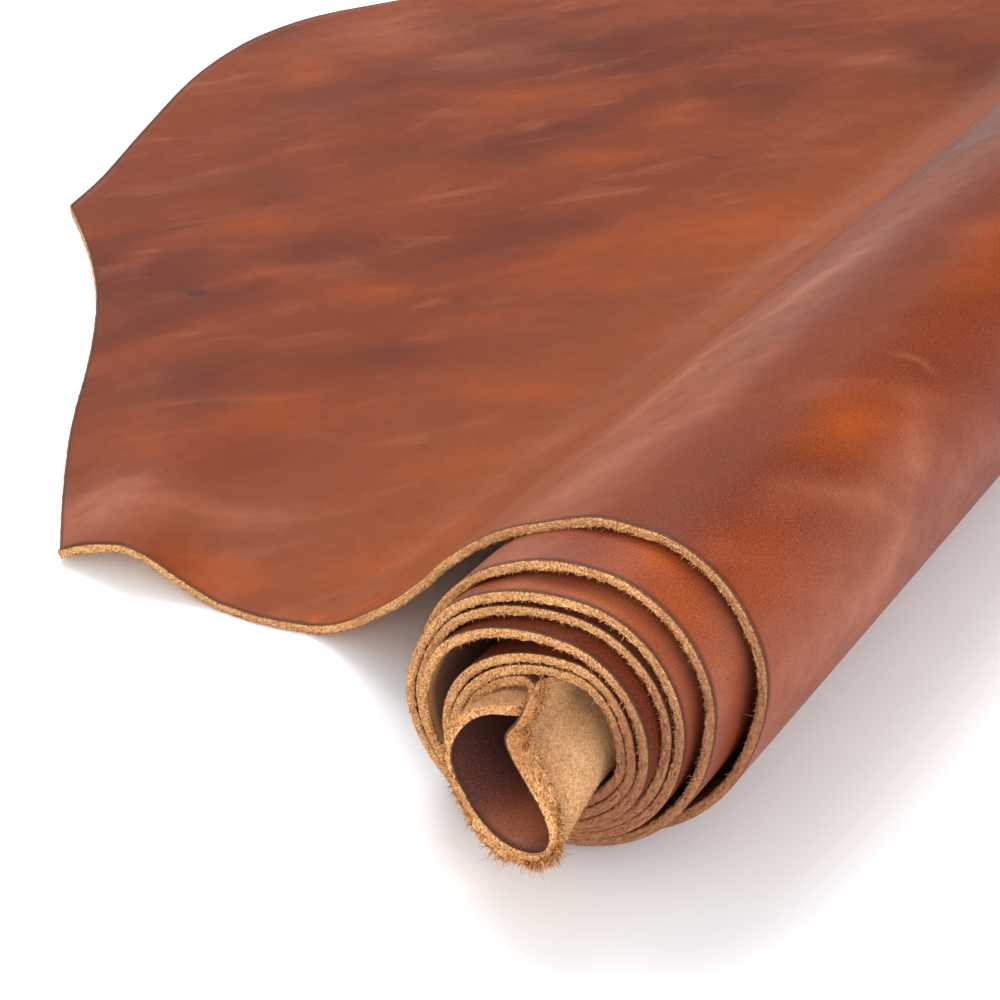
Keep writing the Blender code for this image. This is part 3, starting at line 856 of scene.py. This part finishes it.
def build_leather():
    """All pieces of the leather, with the sheet first."""
    grain_looks, flesh_looks = grain_material(), flesh_material()
    cut_looks, fibre_looks = cut_material(), fibre_material()
    rng = np.random.default_rng(SEED)
    shares = column_shares()
    kept = kept_columns(shares)
    grain, runs, extras = grain_grid(shares)
    apron_rows = (len(APRON) - 1) * STEPS_PER_APRON_ROW + 1
    full_rows = apron_rows + (len(RISE) - 1) * STEPS_PER_RISE_ROW + 3 * STEPS_PER_QUARTER
    normals, _ = section_normals(grain)
    shown = np.zeros(len(grain))
    faded = full_rows - RIDGE_FADE_ROWS - np.arange(full_rows)
    shown[:full_rows] = np.clip(faded / RIDGE_FADE_ROWS, 0.0, 1.0)
    lift = ridge_height(runs, grain[:, :, 1]) * shown[:, None]
    grain = grain + normals * lift[:, :, None]
    flesh = flesh_grid(grain, extras[:, 0])
    flesh[:, :, 2] = np.maximum(flesh[:, :, 2], 0.0)
    rims = grain.copy()
    for column, drop in enumerate(RIM_DROP):
        for side in (column, -1 - column):
            grain[:, side] -= normals[:, side] * drop
    skive, fuzz = extras.T
    looks = [grain_looks, flesh_looks, cut_looks]
    sheet = sheet_object(inset(grain, skive), inset(flesh, skive), runs, full_rows, kept, looks)

    rows, columns = grain.shape[:2]
    even, plain = np.ones(rows), np.ones(columns)
    near = Edge(rims[:, 0], flesh[:, 0], np.tile([0.0, -1.0, 0.0], (rows, 1)), runs[:, 0], fuzz)
    far = Edge(rims[:, -1], flesh[:, -1], np.tile([0.0, 1.0, 0.0], (rows, 1)), runs[:, -1], even)
    outline = Edge(rims[0], flesh[0], np.tile([-1.0, 0.0, 0.0], (columns, 1)), rims[0, :, 1], plain)
    lip_way = rims[-1] - rims[-2]
    lip = Edge(rims[-1], flesh[-1], lip_way, rims[-1, :, 1], LIP_FUZZ * plain)
    pieces = []
    # Name, edge, spacing of the band's stations, and loose fibres per millimetre
    for name, edge, step, density in (
        ("cut_edge_near", near, 0.6, FIBRES_PER_MM),
        ("cut_edge_far", far, 1.4, 1.0),
        ("cut_edge_outline", outline, 1.2, 1.2),
        ("cut_edge_lip", lip, 1.4, 1.0),
    ):
        pieces.append(edge_band(name, edge, step, rng, [cut_looks]))
        pieces.append(edge_fibres(name.replace("cut_edge", "fibres"), edge, density, rng, [fibre_looks]))
    pieces.append(edge_stubble("stubble_near", near, STUBBLE_PER_MM, rng, [fibre_looks]))
    pieces.append(rim_tufts("rim_tufts", rims[:, 0], flesh[:, 0], runs[:, 0], rng, [fibre_looks]))
    pieces.append(suede_nap("flesh_nap", grain, flesh, runs, rng, [nap_material()]))
    return sheet, pieces, grain, runs


def node(tree, kind, inputs=(), **settings):
    """A shader node with its settings and its inputs, each a value or another node's output."""
    made = tree.nodes.new(kind)
    for name, value in settings.items():
        setattr(made, name, value)
    for socket, value in dict(inputs).items():
        if isinstance(value, bpy.types.NodeSocket):
            tree.links.new(value, made.inputs[socket])
        else:
            made.inputs[socket].default_value = value
    return made


def noise(tree, vector, scale, detail=3.0, roughness=0.5, distortion=0.0):
    inputs = {
        "Vector": vector, "Scale": scale, "Detail": detail, "Roughness": roughness,
        "Distortion": distortion,
    }
    return node(tree, "ShaderNodeTexNoise", inputs).outputs["Fac"]


def stretched(tree, vector, along, across, turn=0.0):
    """The vector in cells of the given lengths, the first along a way turned by so many degrees."""
    inputs = {
        "Vector": vector, "Scale": (along * MM, across * MM, MM), "Rotation": (0.0, 0.0, np.radians(turn)),
    }
    return node(tree, "ShaderNodeMapping", inputs, vector_type="TEXTURE").outputs["Vector"]


def span(tree, value, low, high, to_low=0.0, to_high=1.0):
    """The value, eased from one range into another."""
    inputs = {"Value": value, "From Min": low, "From Max": high, "To Min": to_low, "To Max": to_high}
    return node(tree, "ShaderNodeMapRange", inputs, interpolation_type="SMOOTHSTEP").outputs["Result"]


def math(tree, operation, first, second):
    return node(tree, "ShaderNodeMath", {0: first, 1: second}, operation=operation).outputs["Value"]

VALUE_OPERATIONS = ("DOT_PRODUCT", "LENGTH")

def vector_math(tree, operation, first, second=(0.0, 0.0, 0.0)):
    """What a vector operation gives: a value for a dot product or a length, and else a vector."""
    made = node(tree, "ShaderNodeVectorMath", {0: first, 1: second}, operation=operation)
    return made.outputs["Value" if operation in VALUE_OPERATIONS else "Vector"]


MIX_A, MIX_B, MIX_RESULT = 6, 7, 2


def mix(tree, factor, first, second, blend="MIX"):
    """Two colours mixed by a factor."""
    inputs = {0: factor, MIX_A: first, MIX_B: second}
    made = node(tree, "ShaderNodeMix", inputs, data_type="RGBA", blend_type=blend)
    return made.outputs[MIX_RESULT]


def new_material(name):
    made = bpy.data.materials.new(name)
    made.use_nodes = True
    tree = made.node_tree
    flat = node(tree, "ShaderNodeUVMap", uv_map="flat").outputs["UV"]
    return made, tree, tree.nodes["Principled BSDF"], flat


def bump(tree, height, distance, strength, below=None):
    inputs = {"Height": height, "Distance": distance, "Strength": strength}
    if below is not None:
        inputs["Normal"] = below
    return node(tree, "ShaderNodeBump", inputs).outputs["Normal"]


def rgb(red, green, blue):
    """A shader colour from the 0 to 255 values that a screen shows."""
    shown = np.array([red, green, blue]) / 255.0
    linear = np.where(shown <= 0.04045, shown / 12.92, ((shown + 0.055) / 1.055) ** 2.4)
    return (*linear.tolist(), 1.0)


GRAIN_DARK = rgb(92, 36, 12)
GRAIN_MIDDLE = rgb(114, 47, 12)
GRAIN_ORANGE = rgb(144, 61, 10)
GRAIN_PULLED = rgb(172, 90, 42)
GRAIN_WARM = rgb(172, 78, 16)
GRAIN_DEEP = rgb(80, 30, 12)
# Pale tone, which the pale patches also use for painted sheen and highlights
GRAIN_PALE = rgb(172, 102, 72)
GRAIN_RIM = rgb(58, 30, 24)
GRAIN_SPOT = rgb(62, 34, 30)
GRAIN_HOLLOW_SHADE = rgb(66, 52, 52)
GRAIN_RED = rgb(122, 48, 30)
GRAIN_TURN = rgb(142, 82, 66)
# By path length in metres: the rise is paler, where the leather was bent, the roll redder, the turns
# within it paler again, the inner ones darker, and the loop's inside darkest, with painted shade
PULLED_RUNS = (-0.30, -0.13)
SETTLED_RUNS = (-0.05, 0.01)
ROLLED_RUNS = (-0.05, 0.02)
TURN_RUNS = (0.14, 0.22)
INNER_RUNS = (0.72, 0.80)
HOLLOW_SHADE_RUNS = (1.66, 1.70)

Mark = namedtuple("Mark", "u v length width turn colour strength")
# Small marks on the grain face, with their places as the patches'
MARKS = [
    Mark(-372, 196, 18, 11, 10, GRAIN_SPOT, 1.0),
    Mark(-256, 454, 18, 11, 30, GRAIN_DEEP, 0.7),
    Mark(-156, 33, 40, 6, 32, GRAIN_WARM, 0.9),
    Mark(-178, 26, 12, 8, 20, GRAIN_WARM, 0.8),
    Mark(17, 138, 26, 5, 29, GRAIN_PALE, 0.28),
]
# Most streaks of the tannage run along the roll, turned a little towards the loose end
STREAK_TURN = 63.0
# How far the marks' outlines wander, in metres
MARK_WOBBLE = 0.012


def mark_strength(tree, flat, mark, wobble):
    """1 in the middle of an oval mark, easing to 0 at its outline."""
    inputs = {
        "Vector": vector_math(tree, "ADD", flat, wobble),
        "Location": (mark.u * MM, mark.v * MM, 0.0),
        "Rotation": (0.0, 0.0, np.radians(mark.turn)),
        "Scale": (0.5 * mark.length * MM, 0.5 * mark.width * MM, 1.0),
    }
    local = node(tree, "ShaderNodeMapping", inputs, vector_type="TEXTURE").outputs["Vector"]
    radius = vector_math(tree, "LENGTH", local)
    return span(tree, radius, 0.0, 1.0, mark.strength, 0.0)


def grain_material():
    """Waxed full grain: mottled red-brown with orange pull-up patches, dark rims, fine pores and painted
    sheen and shade.
    """
    made, tree, shader, flat = new_material("grain_leather")
    broad = noise(tree, stretched(tree, flat, 190.0, 80.0, STREAK_TURN), 1.0, 3.0, 0.5, 0.4)
    patches = noise(tree, stretched(tree, flat, 90.0, 40.0, STREAK_TURN + 6.0), 1.0, 2.0, 0.5, 0.6)
    streaks = noise(tree, stretched(tree, flat, 64.0, 17.0, STREAK_TURN - 8.0), 1.0, 2.0, 0.5, 0.6)
    cloud = noise(tree, flat, 110.0, 4.0, 0.6)
    speck = noise(tree, flat, 1500.0, 2.0, 0.6)
    colour = mix(tree, span(tree, broad, 0.34, 0.62), GRAIN_DARK, GRAIN_MIDDLE)
    run = node(tree, "ShaderNodeSeparateXYZ", {0: flat}).outputs["X"]
    rolled = span(tree, run, *ROLLED_RUNS, 0.55, 1.0)
    speckled = span(tree, run, *ROLLED_RUNS, 0.3, 1.0)
    orange = math(tree, "MULTIPLY", span(tree, patches, 0.44, 0.70, 0.0, 0.6), rolled)
    colour = mix(tree, orange, colour, GRAIN_ORANGE)
    pulled = math(
        tree, "MULTIPLY", span(tree, run, *PULLED_RUNS, 0.0, 0.42), span(tree, run, *SETTLED_RUNS, 1.0, 0.3)
    )
    colour = mix(tree, pulled, colour, GRAIN_PULLED)
    colour = mix(tree, span(tree, run, *SETTLED_RUNS, 0.0, 0.5), colour, GRAIN_RED)
    colour = mix(tree, span(tree, run, *TURN_RUNS, 0.0, 0.36), colour, GRAIN_TURN)
    colour = mix(tree, span(tree, run, *INNER_RUNS, 0.0, 0.5), colour, GRAIN_DEEP)
    # Painted shade deep inside the loop's hollow
    colour = mix(tree, span(tree, run, *HOLLOW_SHADE_RUNS, 0.0, 0.7), colour, GRAIN_HOLLOW_SHADE)
    colour = mix(tree, span(tree, streaks, 0.54, 0.8, 0.0, 0.26), colour, GRAIN_PALE)
    # Patches of tone, with painted shade in the deep ones and painted sheen and light in the pale ones
    for kind, tint in ((DEEP_AND_PAINTED_SHADE, GRAIN_DEEP), (WARM, GRAIN_WARM), (PALE_AND_PAINTED_LIGHT, GRAIN_PALE)):
        strength = node(tree, "ShaderNodeAttribute", attribute_name=kind).outputs["Fac"]
        broken = span(tree, patches if kind == DEEP_AND_PAINTED_SHADE else streaks, 0.3, 0.62, 0.6, 1.0)
        colour = mix(tree, math(tree, "MULTIPLY", strength, broken), colour, tint)
    colour = mix(tree, span(tree, cloud, 0.35, 0.75, 0.0, 0.18), colour, GRAIN_DARK)
    inputs = {"Vector": flat, "Scale": 60.0, "Detail": 3.0}
    wobble = node(tree, "ShaderNodeTexNoise", inputs).outputs["Color"]
    wobble = vector_math(tree, "SUBTRACT", wobble, (0.5, 0.5, 0.5))
    wobble = vector_math(tree, "MULTIPLY", wobble, (MARK_WOBBLE, MARK_WOBBLE, MARK_WOBBLE))
    for mark in MARKS:
        colour = mix(tree, mark_strength(tree, flat, mark, wobble), colour, mark.colour)
    lighter = math(tree, "MULTIPLY", span(tree, speck, 0.54, 0.72, 0.0, 0.42), speckled)
    darker = math(tree, "MULTIPLY", span(tree, speck, 0.30, 0.48, 0.6, 0.0), speckled)
    colour = mix(tree, lighter, colour, GRAIN_PALE)
    colour = mix(tree, darker, colour, GRAIN_DEEP)
    rim = node(tree, "ShaderNodeAttribute", attribute_name="rim").outputs["Fac"]
    rim = math(tree, "ADD", rim, math(tree, "MULTIPLY", math(tree, "SUBTRACT", cloud, 0.5), 0.0016))
    colour = mix(tree, span(tree, rim, 0.0, 0.0022, 0.7, 0.0), colour, GRAIN_RIM)
    tree.links.new(colour, shader.inputs["Base Color"])

    rough = span(tree, patches, 0.3, 0.7, 0.48, 0.40)
    rough = math(tree, "ADD", rough, math(tree, "MULTIPLY", math(tree, "SUBTRACT", cloud, 0.5), 0.22))
    tree.links.new(rough, shader.inputs["Roughness"])
    shader.inputs["Specular IOR Level"].default_value = 0.12

    pebble = node(
        tree, "ShaderNodeTexVoronoi", {"Vector": flat, "Scale": 900.0, "Randomness": 1.0},
        feature="SMOOTH_F1",
    ).outputs["Distance"]
    wrinkle = noise(tree, stretched(tree, flat, 18.0, 6.5, STREAK_TURN + 10.0), 1.0, 3.0, 0.6, 1.5)
    normal = bump(tree, wrinkle, 0.0009, 0.16)
    normal = bump(tree, pebble, 0.00012, 0.35, normal)
    normal = bump(tree, speck, 0.00010, 0.35, normal)
    tree.links.new(normal, shader.inputs["Normal"])
    return made


FLESH_PALE = rgb(246, 202, 152)
FLESH_DEEP = rgb(214, 162, 112)
FLESH_BROWN = rgb(182, 116, 64)
FLESH_SHADE = rgb(136, 96, 76)
FLESH_ARCH = rgb(58, 38, 28)
# Between the turns, past these path lengths in metres, little light gets in, and least of all
# under the rise, from and to the second ones
SHADE_RUNS = (-0.02, 0.04, 1.672, 1.700)
ARCH_RUNS = (-0.15, -0.08, 0.02, 0.06)
SHADE_DEPTHS = (0.0, 0.005)


def flesh_material():
    """Suede: pale tan with a short nap, browner towards the cut."""
    made, tree, shader, flat = new_material("flesh_suede")
    cloud = noise(tree, flat, 70.0, 5.0, 0.65)
    nap = noise(tree, flat, 2400.0, 2.0, 0.6)
    colour = mix(tree, span(tree, cloud, 0.3, 0.75), FLESH_DEEP, FLESH_PALE)
    colour = mix(tree, span(tree, nap, 0.35, 0.65, 0.6, 0.0), colour, FLESH_DEEP)
    rim = node(tree, "ShaderNodeAttribute", attribute_name="rim").outputs["Fac"]
    colour = mix(tree, span(tree, rim, 0.0, 0.007, 0.6, 0.0), colour, FLESH_BROWN)
    run = node(tree, "ShaderNodeSeparateXYZ", {0: flat}).outputs["X"]
    for runs, tint in ((SHADE_RUNS, FLESH_SHADE), (ARCH_RUNS, FLESH_ARCH)):
        within = math(tree, "MULTIPLY", span(tree, run, *runs[:2]), span(tree, run, *runs[2:], 1.0, 0.0))
        within = math(tree, "MULTIPLY", within, span(tree, rim, *SHADE_DEPTHS))
        colour = mix(tree, within, colour, tint)
    tree.links.new(colour, shader.inputs["Base Color"])
    shader.inputs["Roughness"].default_value = 0.95
    shader.inputs["Specular IOR Level"].default_value = 0.08
    normal = bump(tree, nap, 0.0002, 0.5)
    tree.links.new(normal, shader.inputs["Normal"])
    return made


CUT_TAN = rgb(214, 138, 78)
CUT_PALE = rgb(255, 212, 150)
CUT_BROWN = rgb(136, 74, 40)
# Painted shade colour for the cut and its hairs
CUT_DARK = rgb(78, 44, 34)
CUT_SHADED = rgb(144, 92, 66)
# The cut gets painted shade towards the roll's lower right, as seen from its middle, but not at the
# innermost loop, and is browner on the lip, from these path lengths on
ROLL_MIDDLE = (0.005, 0.0, 0.045)
CUT_SHADE_WAY = (0.8, 0.0, -0.6)
CUT_SHADE_SPAN = (-0.25, 0.65)
CUT_SHADE_STRENGTH = 0.8
LOOP_RUNS = (1.68, 1.70)
LIP_RUNS = (1.755, 1.775)


def painted_cut_shade(tree, flat):
    """How much painted shade the cut gets: none at the roll's left and the loop, most at its lower right.
    """
    place = node(tree, "ShaderNodeTexCoord").outputs["Object"]
    away = vector_math(tree, "SUBTRACT", place, ROLL_MIDDLE)
    away = vector_math(tree, "MULTIPLY", away, (1.0, 0.0, 1.0))
    away = vector_math(tree, "NORMALIZE", away)
    shade_share = span(tree, vector_math(tree, "DOT_PRODUCT", away, CUT_SHADE_WAY), *CUT_SHADE_SPAN, 0.0, CUT_SHADE_STRENGTH)
    run = node(tree, "ShaderNodeSeparateXYZ", {0: flat}).outputs["X"]
    return math(tree, "MULTIPLY", shade_share, span(tree, run, *LOOP_RUNS, 1.0, 0.0))


def cut_material():
    """The raw cut: tan-orange fibres with brown pits, under a thin dark line of dyed grain."""
    made, tree, shader, flat = new_material("cut_edge")
    depth = node(tree, "ShaderNodeSeparateXYZ", {0: flat}).outputs["Y"]
    fibres = noise(tree, stretched(tree, flat, 0.55, 0.8), 1.0, 4.0, 0.7, 0.6)
    clumps = noise(tree, flat, 1500.0, 3.0, 0.6)
    shade = noise(tree, flat, 28.0, 3.0, 0.5)
    colour = mix(tree, span(tree, fibres, 0.36, 0.64), CUT_TAN, CUT_PALE)
    colour = mix(tree, span(tree, clumps, 0.38, 0.49, 0.8, 0.0), colour, CUT_BROWN)
    colour = mix(tree, span(tree, shade, 0.35, 0.7, 0.3, 0.0), colour, CUT_BROWN)
    # Painted shade on the cut towards the roll's lower right
    colour = mix(tree, painted_cut_shade(tree, flat), colour, CUT_SHADED)
    run = node(tree, "ShaderNodeSeparateXYZ", {0: flat}).outputs["X"]
    colour = mix(tree, span(tree, run, *LIP_RUNS, 0.0, 0.4), colour, CUT_BROWN)
    dyed = math(tree, "ADD", depth, math(tree, "MULTIPLY", math(tree, "SUBTRACT", clumps, 0.5), 0.0004))
    colour = mix(tree, span(tree, dyed, 0.00004, 0.00024, 0.9, 0.0), colour, CUT_DARK)
    tree.links.new(colour, shader.inputs["Base Color"])
    shader.inputs["Roughness"].default_value = 0.9
    shader.inputs["Specular IOR Level"].default_value = 0.2
    normal = bump(tree, clumps, 0.0004, 0.8)
    normal = bump(tree, fibres, 0.0003, 0.8, normal)
    tree.links.new(normal, shader.inputs["Normal"])
    return made


FIBRE_DARK = rgb(112, 58, 30)
FIBRE_TAN = rgb(208, 134, 70)
FIBRE_PALE = rgb(250, 204, 142)
NAP_DARK = rgb(208, 150, 98)
NAP_PALE = rgb(255, 230, 188)


def hair_material(name, dark, middle, pale):
    """Loose collagen hairs, each of its own shade."""
    made, tree, shader, flat = new_material(name)
    shade = node(tree, "ShaderNodeAttribute", attribute_name="shade").outputs["Fac"]
    colour = mix(tree, span(tree, shade, 0.0, 0.5), dark, middle)
    colour = mix(tree, span(tree, shade, 0.5, 1.0), colour, pale)
    # Painted shade on the hairs towards the roll's lower right
    colour = mix(tree, painted_cut_shade(tree, flat), colour, CUT_SHADED)
    tree.links.new(colour, shader.inputs["Base Color"])
    shader.inputs["Roughness"].default_value = 0.8
    shader.inputs["Specular IOR Level"].default_value = 0.15
    return made


def fibre_material():
    return hair_material("loose_fibre", FIBRE_DARK, FIBRE_TAN, FIBRE_PALE)


def nap_material():
    return hair_material("suede_nap", NAP_DARK, FLESH_DEEP, NAP_PALE)


FLOOR_HALF = 40.0
FLOOR_CENTRE = (-0.2, 0.6)
FLOOR_GAP = 0.0003
FLOOR_STEPS = 24


def floor():
    """A pale studio floor that runs well past every view."""
    made = bpy.data.materials.new("floor_paint")
    made.use_nodes = True
    tree = made.node_tree
    shader = tree.nodes["Principled BSDF"]
    place = node(tree, "ShaderNodeTexCoord").outputs["Object"]
    shade = span(tree, noise(tree, place, 1.5, 2.0), 0.3, 0.7)
    tree.links.new(mix(tree, shade, rgb(240, 241, 244), rgb(246, 246, 247)), shader.inputs["Base Color"])
    shader.inputs["Roughness"].default_value = 0.7
    shader.inputs["Specular IOR Level"].default_value = 0.1
    ticks = np.linspace(-FLOOR_HALF, FLOOR_HALF, FLOOR_STEPS + 1)
    points = [(FLOOR_CENTRE[0] + x, FLOOR_CENTRE[1] + y, -FLOOR_GAP) for y in ticks for x in ticks]
    across = FLOOR_STEPS + 1
    faces = []
    for row in range(FLOOR_STEPS):
        for column in range(FLOOR_STEPS):
            corner = row * across + column
            faces.append((corner, corner + 1, corner + 1 + across, corner + across))
    mesh = bpy.data.meshes.new("studio_floor")
    mesh.from_pydata(points, [], faces)
    mesh.materials.append(made)
    plane = bpy.data.objects.new("studio_floor", mesh)
    bpy.context.scene.collection.objects.link(plane)
    return plane


CAMERA_PLACE = (0.2535, -0.8475, 0.4138)
CAMERA_PITCH = 32.0
CAMERA_YAW = 33.0
CAMERA_LENS = 75.6
CAMERA_SENSOR = 36.0

Softbox = namedtuple("Softbox", "name place target width height watts")
SOFTBOXES = [
    Softbox("key_overhead", (-0.8, 0.6, 2.0), (-0.05, 0.0, 0.05), 1.3, 1.3, 38.0),
    Softbox("fill_right", (2.0, -1.1, 0.5), (0.0, 0.0, 0.05), 1.4, 0.9, 8.5),
    Softbox("fill_front", (1.3, -1.8, 1.2), (0.0, -0.4, 0.05), 1.3, 1.3, 17.5),
]
# The surround is dark in one broad patch, high up behind the roll, where the leather mirrors it,
# and dimmed in a small one, where the flat loose end does
DARK_WAY = (0.05, 0.75, 0.66)
DARK_PATCH = (0.70, 0.95)
DIM_WAY = (-0.46, 0.71, 0.53)
DIM_PATCH = (0.92, 0.99)
SURROUND_BRIGHT = 1.05
SURROUND_DARK = 0.3
DIM_SHARE = 0.55


def camera():
    data = bpy.data.cameras.new("photo_camera")
    data.lens = CAMERA_LENS
    data.sensor_width = CAMERA_SENSOR
    data.clip_start = 0.01
    data.clip_end = 50.0
    made = bpy.data.objects.new("photo_camera", data)
    made.location = CAMERA_PLACE
    made.rotation_euler = (np.radians(90.0 - CAMERA_PITCH), 0.0, np.radians(CAMERA_YAW))
    bpy.context.scene.collection.objects.link(made)
    bpy.context.scene.camera = made


def lights():
    """Three large softboxes, and a white surround that is darker where the leather mirrors it."""
    for box in SOFTBOXES:
        data = bpy.data.lights.new(box.name, "AREA")
        data.shape = "RECTANGLE"
        data.size = box.width
        data.size_y = box.height
        data.energy = box.watts
        made = bpy.data.objects.new(box.name, data)
        made.location = box.place
        way = Vector(box.target) - Vector(box.place)
        made.rotation_euler = way.to_track_quat("-Z", "Y").to_euler()
        bpy.context.scene.collection.objects.link(made)
    world = bpy.data.worlds.new("studio")
    world.use_nodes = True
    tree = world.node_tree
    surround = tree.nodes["Background"]
    surround.inputs["Color"].default_value = (1.0, 1.0, 1.0, 1.0)
    way = node(tree, "ShaderNodeTexCoord").outputs["Generated"]
    dark, dim = (vector_math(tree, "DOT_PRODUCT", way, middle) for middle in (DARK_WAY, DIM_WAY))
    dark = span(tree, dark, *DARK_PATCH, SURROUND_BRIGHT, SURROUND_DARK)
    dim = span(tree, dim, *DIM_PATCH, 1.0, DIM_SHARE)
    tree.links.new(math(tree, "MULTIPLY", dark, dim), surround.inputs["Strength"])
    bpy.context.scene.world = world
    bpy.context.scene.view_settings.view_transform = "Standard"
    bpy.context.scene.view_settings.look = "None"


sheet, edge_pieces, grain_points, grain_runs = build_leather()
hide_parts(NODE)
floor()
camera()
lights()
